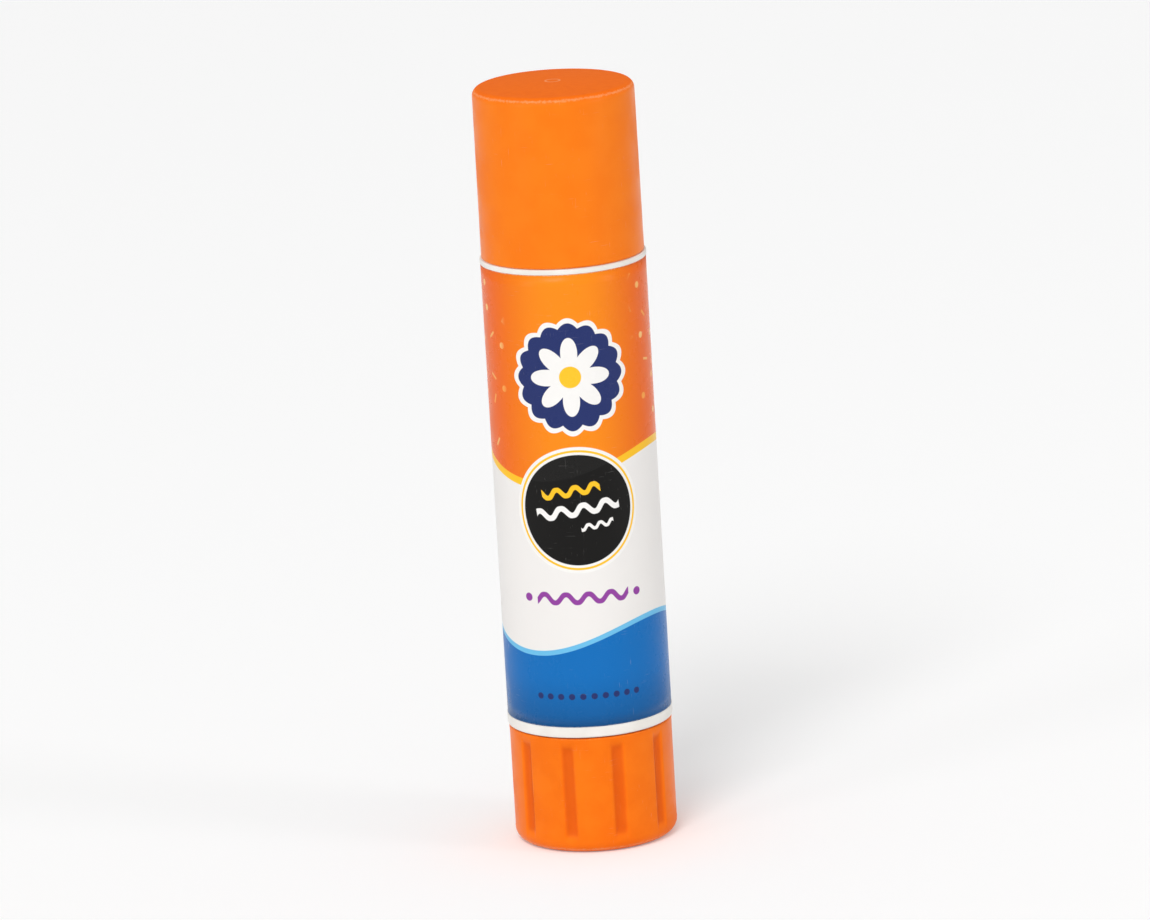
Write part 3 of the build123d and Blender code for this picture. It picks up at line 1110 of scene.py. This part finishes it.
def make_knob_plastic():
    """Orange plastic, duller in the grooves, and darker there as painted shade."""
    material, shader, colour, shine = mould_plastic(
        "knob_plastic", "FB7A0E", "F67208", (0.32, 0.5), 0.014, draw_lines=0.5
    )
    x, y, z = split(surface_in_mm(colour.tree))
    from_axis = length(x, y)
    sunken = fade(from_axis, base_radius - groove_shade_start, base_radius - groove_shade_full)
    outer_wall = fade(from_axis, base_radius - 1.0, base_radius - 0.8)
    level = fade(z, groove_low, groove_low + 1.0) * fade(z, groove_high + 0.3, groove_high - 0.7)
    groove_shade = sunken * outer_wall * level
    # Painted shade: a darker orange lies in the grooves, where shade would fall.
    colour = cover(colour, linear("DE5608"), groove_shade * 0.65)
    colour = wear_rims(colour, pale_orange, (
        (base_radius - 0.5, 0.6, 0.8),
        (base_radius, base_height, 0.35),
    ))
    colour.into(shader.inputs["Base Color"])
    (shine + groove_shade * 0.1).into(shader.inputs["Roughness"])
    return material


knob_plastic = make_knob_plastic()
lobed_lathe = make_lobed_lathe(knob_plastic)


# %% Copies of construction pieces
def merged_copy(name, node, material):
    """A copy of a construction piece whose loose triangles are merged into one skin."""
    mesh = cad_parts[node].data.copy()
    mesh.name = name
    work = bmesh.new()
    work.from_mesh(mesh)
    bmesh.ops.remove_doubles(work, verts=work.verts, dist=merge_distance * millimetre)
    work.to_mesh(mesh)
    work.free()
    mesh.materials.clear()
    mesh.materials.append(material)
    piece = bpy.data.objects.new(name, mesh)
    bpy.context.collection.objects.link(piece)
    return piece


def cylinder(name, radius, low, high):
    """A plain closed cylinder round the axis, to cut with."""
    mesh = bpy.data.meshes.new(name)
    work = bmesh.new()
    bmesh.ops.create_cone(
        work, cap_ends=True, segments=128, depth=high - low, radius1=radius, radius2=radius,
        matrix=Matrix.Translation((0, 0, (low + high) / 2)),
    )
    work.to_mesh(mesh)
    work.free()
    piece = bpy.data.objects.new(name, mesh)
    bpy.context.collection.objects.link(piece)
    return piece


# %% Base: new wall, old hub and webs
core_overlap = 0.4
core_sink = 0.6


def make_turning_base():
    """The turned wall and floor, joined with the hub and webs of the construction model."""
    outline = bpy.data.meshes.new("base_outline")
    spots = [(spot.x * millimetre, 0, spot.y * millimetre) for spot in base_outline]
    outline.from_pydata(spots, [(place - 1, place) for place in range(1, len(spots))], [])
    base = run_tree("turning_base", outline, lobed_lathe, base_inputs | {"Finish": knob_plastic})

    inside_parts = merged_copy("hub_and_webs", "knob", knob_plastic)
    core_radius = (base_inside_radius + core_overlap) * millimetre
    core_low = (base_floor - core_sink) * millimetre
    core = cylinder("core", core_radius, core_low, knob_high.z * millimetre)
    for target, operation, other in (
        (inside_parts, "INTERSECT", core), (base, "UNION", inside_parts)
    ):
        cut = target.modifiers.new("cut", "BOOLEAN")
        cut.operation = operation
        cut.solver = "MANIFOLD"
        cut.object = other
    base = as_plain("turning_base", base)
    for spare in (inside_parts, core):
        bpy.data.objects.remove(spare)
    return base


turning_base = make_turning_base()
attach(turning_base, "knob")
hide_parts("knob")
print("turning base:", count_triangles(turning_base), "triangles")

# %% [markdown]
# ## Glue: cast wax
#
# The glue is cast as a hot paste and sets to a wax-like stick, so it has no sharp edge
# anywhere, and it is slightly lumpy and streaked along its length where it slid in the barrel.
# A voxel remesh of the construction piece gives an even skin of small faces. Smoothing melts
# its edges, and then every point moves inward a little, by a noise that is stretched along the
# axis. Light enters the purple wax and comes out again nearby, which is subsurface scattering.

# %% Glue finish
def make_glue_paste():
    """Purple wax, mottled and slightly wet, with fine streaks along the stick."""
    material, tree, shader = start_material("glue_paste", {
        "IOR": 1.46, "Subsurface Weight": 0.25, "Subsurface Radius": (1.0, 0.5, 1.1),
        "Subsurface Scale": 1.2 * millimetre,
    })
    place = surface_in_mm(tree)
    cloud = fade(noise(place, 0.25, detail=6.0, roughness=0.6), 0.3, 0.7)
    streaks = noise(stretch(place, (2.2, 2.2, 0.15)), 1.0, detail=5.0)
    colour = cover(linear("6A45A0"), linear("7C58B2"), cloud)
    colour = cover(colour, linear("A58BCB"), fade(streaks, 0.62, 0.75, 0.0, 0.35))
    colour.into(shader.inputs["Base Color"])
    wet = fade(noise(place, 0.4, detail=4.0), 0.35, 0.65)
    fade(wet, 0.0, 1.0, 0.34, 0.6).into(shader.inputs["Roughness"])
    raise_surface(shader, streaks + noise(place, 2.6, detail=5.0) * 0.5, 0.03)
    return material


# %% Glue shape
glue_voxel = 0.4
glue_dent = 0.08
glue_lump_size = 3.0
glue_crown_drop = 0.35
glue_crown_depth = 1.0
glue_streak_length = 5.0


def make_cast_glue(material):
    """The glue with an even skin, melted edges, a low crown and shallow streaks."""
    glue = merged_copy("cast_glue", "glue", material)
    remesh = glue.modifiers.new("even skin", "REMESH")
    remesh.mode = "VOXEL"
    remesh.voxel_size = glue_voxel * millimetre
    melt = glue.modifiers.new("melted edges", "SMOOTH")
    melt.factor = 0.5
    melt.iterations = 4
    glue = as_plain("cast_glue", glue)
    mesh = glue.data
    moved = []
    for vertex in mesh.vertices:
        place = vertex.co * per_metre
        streaked = Vector((place.x, place.y, place.z / glue_streak_length))
        lump = lumps_at(streaked / glue_lump_size)
        place -= vertex.normal * glue_dent * (0.5 + lump / 2)
        if place.z > glue_high.z - glue_crown_depth:
            outward = math.hypot(place.x, place.y) / glue_high.x
            place.z -= glue_crown_drop * outward ** 2
        moved.extend(place * millimetre)
    mesh.vertices.foreach_set("co", moved)
    mesh.update()
    mesh.shade_smooth()
    mesh.materials.clear()
    mesh.materials.append(material)
    return glue


cast_glue = make_cast_glue(make_glue_paste())
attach(cast_glue, "carrier")
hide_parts("glue")
print("glue:", count_triangles(cast_glue), "triangles")

# %% [markdown]
# ## Floor and light
#
# The stick stands on a wide sheet of white paper. What the camera sees of the paper is given a
# little light of its own, so that the background is near white while the lamps stay at a level
# at which colours look as they are written. The soft shadow stays on it. A soft sun from the
# front left is the main light, because a sun lights the whole paper alike. A tall box on each
# side draws a long soft highlight down the plastic, and the sky fills the shadows: white, and a
# little dimmer overhead, so that the top of the cap doesn't turn pale.

# %% Floor
floor_reach = 3.0
floor_glow = 0.19
paper_white = (0.86, 0.86, 0.86, 1.0)
lamp_white = (1.0, 1.0, 1.0, 1.0)


def add_floor():
    """A sheet of white paper under the stick, which the camera sees a little brighter."""
    corners = ((-1, -1), (1, -1), (1, 1), (-1, 1))
    mesh = bpy.data.meshes.new("floor")
    mesh.from_pydata([(x * floor_reach, y * floor_reach, 0) for x, y in corners], [], [range(4)])
    floor = bpy.data.objects.new("floor", mesh)
    bpy.context.collection.objects.link(floor)
    material, tree, shader = start_material("floor_paper", {
        "Base Color": paper_white, "Roughness": 0.8, "Specular IOR Level": 0.0,
        "Emission Color": lamp_white,
    })
    rays = add(tree, "ShaderNodeLightPath")
    seen = calculate("MAXIMUM", read(rays, "Is Camera Ray"), read(rays, "Is Glossy Ray"))
    seen = calculate("MAXIMUM", seen, read(rays, "Is Transmission Ray"))
    (seen * floor_glow).into(shader.inputs["Emission Strength"])
    mesh.materials.append(material)


add_floor()
print("floor, in m:", 2 * floor_reach, "across")


# %% Lamps
def add_lamp(name, kind, place, settings):
    """A lamp at a place, which shines at the middle of the stick."""
    data = bpy.data.lights.new(name, kind)
    for label, value in settings.items():
        setattr(data, label, value)
    lamp = bpy.data.objects.new(name, data)
    lamp.location = place
    lamp.rotation_euler = (stick_middle - Vector(place)).to_track_quat("-Z", "Y").to_euler()
    bpy.context.collection.objects.link(lamp)


add_lamp("main sun", "SUN", (-0.45, -1.4, 1.5), {"energy": 1.32, "angle": math.radians(24)})
for name, place, watts in (
    ("left box", (-0.9, -0.7, 0.35), 1.6), ("right box", (1.0, -0.5, 0.35), 2.2)
):
    add_lamp(name, "AREA", place, {
        "shape": "RECTANGLE", "size": 0.25, "size_y": 0.9, "energy": watts
    })


# %% Sky
sky_level = 0.58
overhead_level = 0.52


def add_sky():
    """A white sky, a little dimmer overhead."""
    world = bpy.data.worlds.new("studio")
    world.use_nodes = True
    tree = world.node_tree
    _, _, height = split(read(add(tree, "ShaderNodeTexCoord"), "Generated"))
    strength = fade(height, 0.1, 0.9, sky_level, overhead_level)
    strength.into(tree.nodes["Background"].inputs["Strength"])
    tree.nodes["Background"].inputs["Color"].default_value = lamp_white
    bpy.context.scene.world = world


add_sky()
